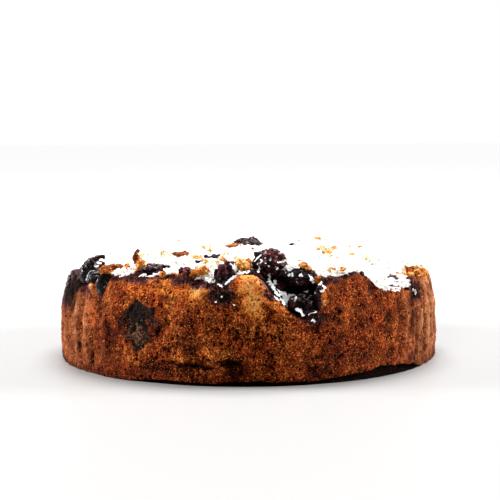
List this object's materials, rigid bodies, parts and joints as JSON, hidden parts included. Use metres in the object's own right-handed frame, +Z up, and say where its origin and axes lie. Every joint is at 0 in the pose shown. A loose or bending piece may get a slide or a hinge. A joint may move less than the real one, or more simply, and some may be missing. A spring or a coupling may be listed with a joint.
{
  "type": "coconut cake",
  "caption": "Round, uncut coconut cake with a browned side wall creased by its liner, whole baked berries sunk in its top, rim and side, and room for shredded coconut on top.",
  "frame": {"origin": "middle of the flat underside, on the surface that the cake rests on", "axes": "+Z up; the side with the notch full of berries faces -Y, and +X is to the right of it"},
  "size_m": [0.2092, 0.2077, 0.0647],
  "materials": {
    "crust": "matte",
    "berry": "satin",
    "coconut": "matte"
  },
  "bodies": {
    "root": {"cake": "crust", "berry_notch_back": "berry", "berry_notch_upper": "berry", "berry_notch_lower": "berry", "berry_left_wall": "berry", "berry_left_top": "berry", "berry_left_tip": "berry", "berry_left_rim": "berry", "berry_left_smooth": "berry", "berry_front_flat": "berry", "berry_front_middle": "berry", "berry_front_small": "berry", "berry_right_small": "berry", "berry_middle": "berry", "berry_back_small": "berry", "berry_back_right": "berry", "berry_back_rim": "berry", "berry_back_left": "berry", "berry_back_far_left": "berry", "berry_wall_front": "berry", "berry_wall_large": "berry", "berry_wall_right": "berry", "berry_wall_back": "berry"}
  },
  "joints": []
}
